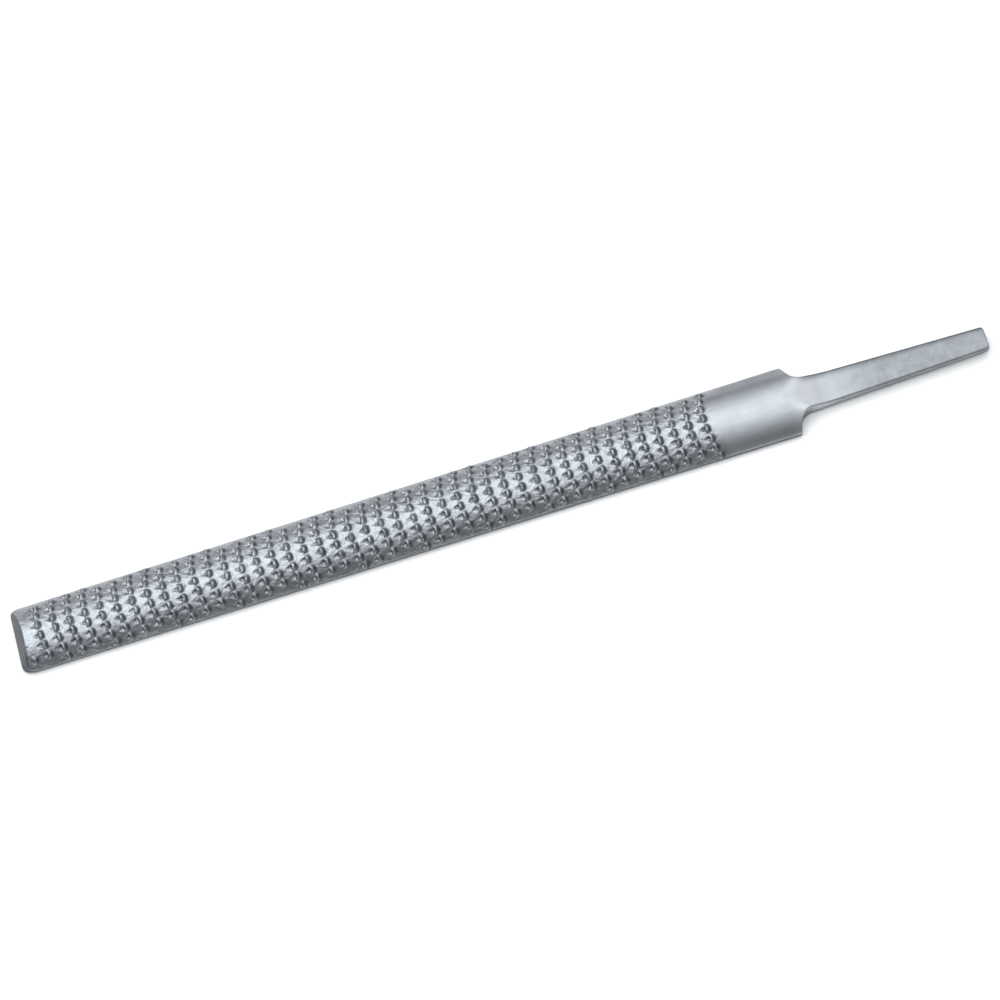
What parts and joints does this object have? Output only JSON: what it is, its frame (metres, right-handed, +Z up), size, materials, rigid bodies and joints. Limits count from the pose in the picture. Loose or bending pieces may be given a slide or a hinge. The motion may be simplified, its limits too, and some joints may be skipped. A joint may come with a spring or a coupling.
{
  "type": "wood rasp",
  "caption": "Half-round wood rasp with punched triangular teeth on both sides, a smooth heel and a flat tapered tang for a drive-on handle.",
  "frame": {"origin": "middle of the underside of the tool's box, with the tool lying on the tooth crests of its flat side", "axes": "+X along the tool from the blunt tip to the end of the tang, +Y across the blade, +Z up out of the round side"},
  "size_m": [0.2514, 0.0182, 0.0069],
  "materials": {
    "blade_steel": "bright satin, blasted, slightly blue-grey"
  },
  "bodies": {
    "root": {"rasp_blade": "blade_steel"}
  },
  "joints": []
}
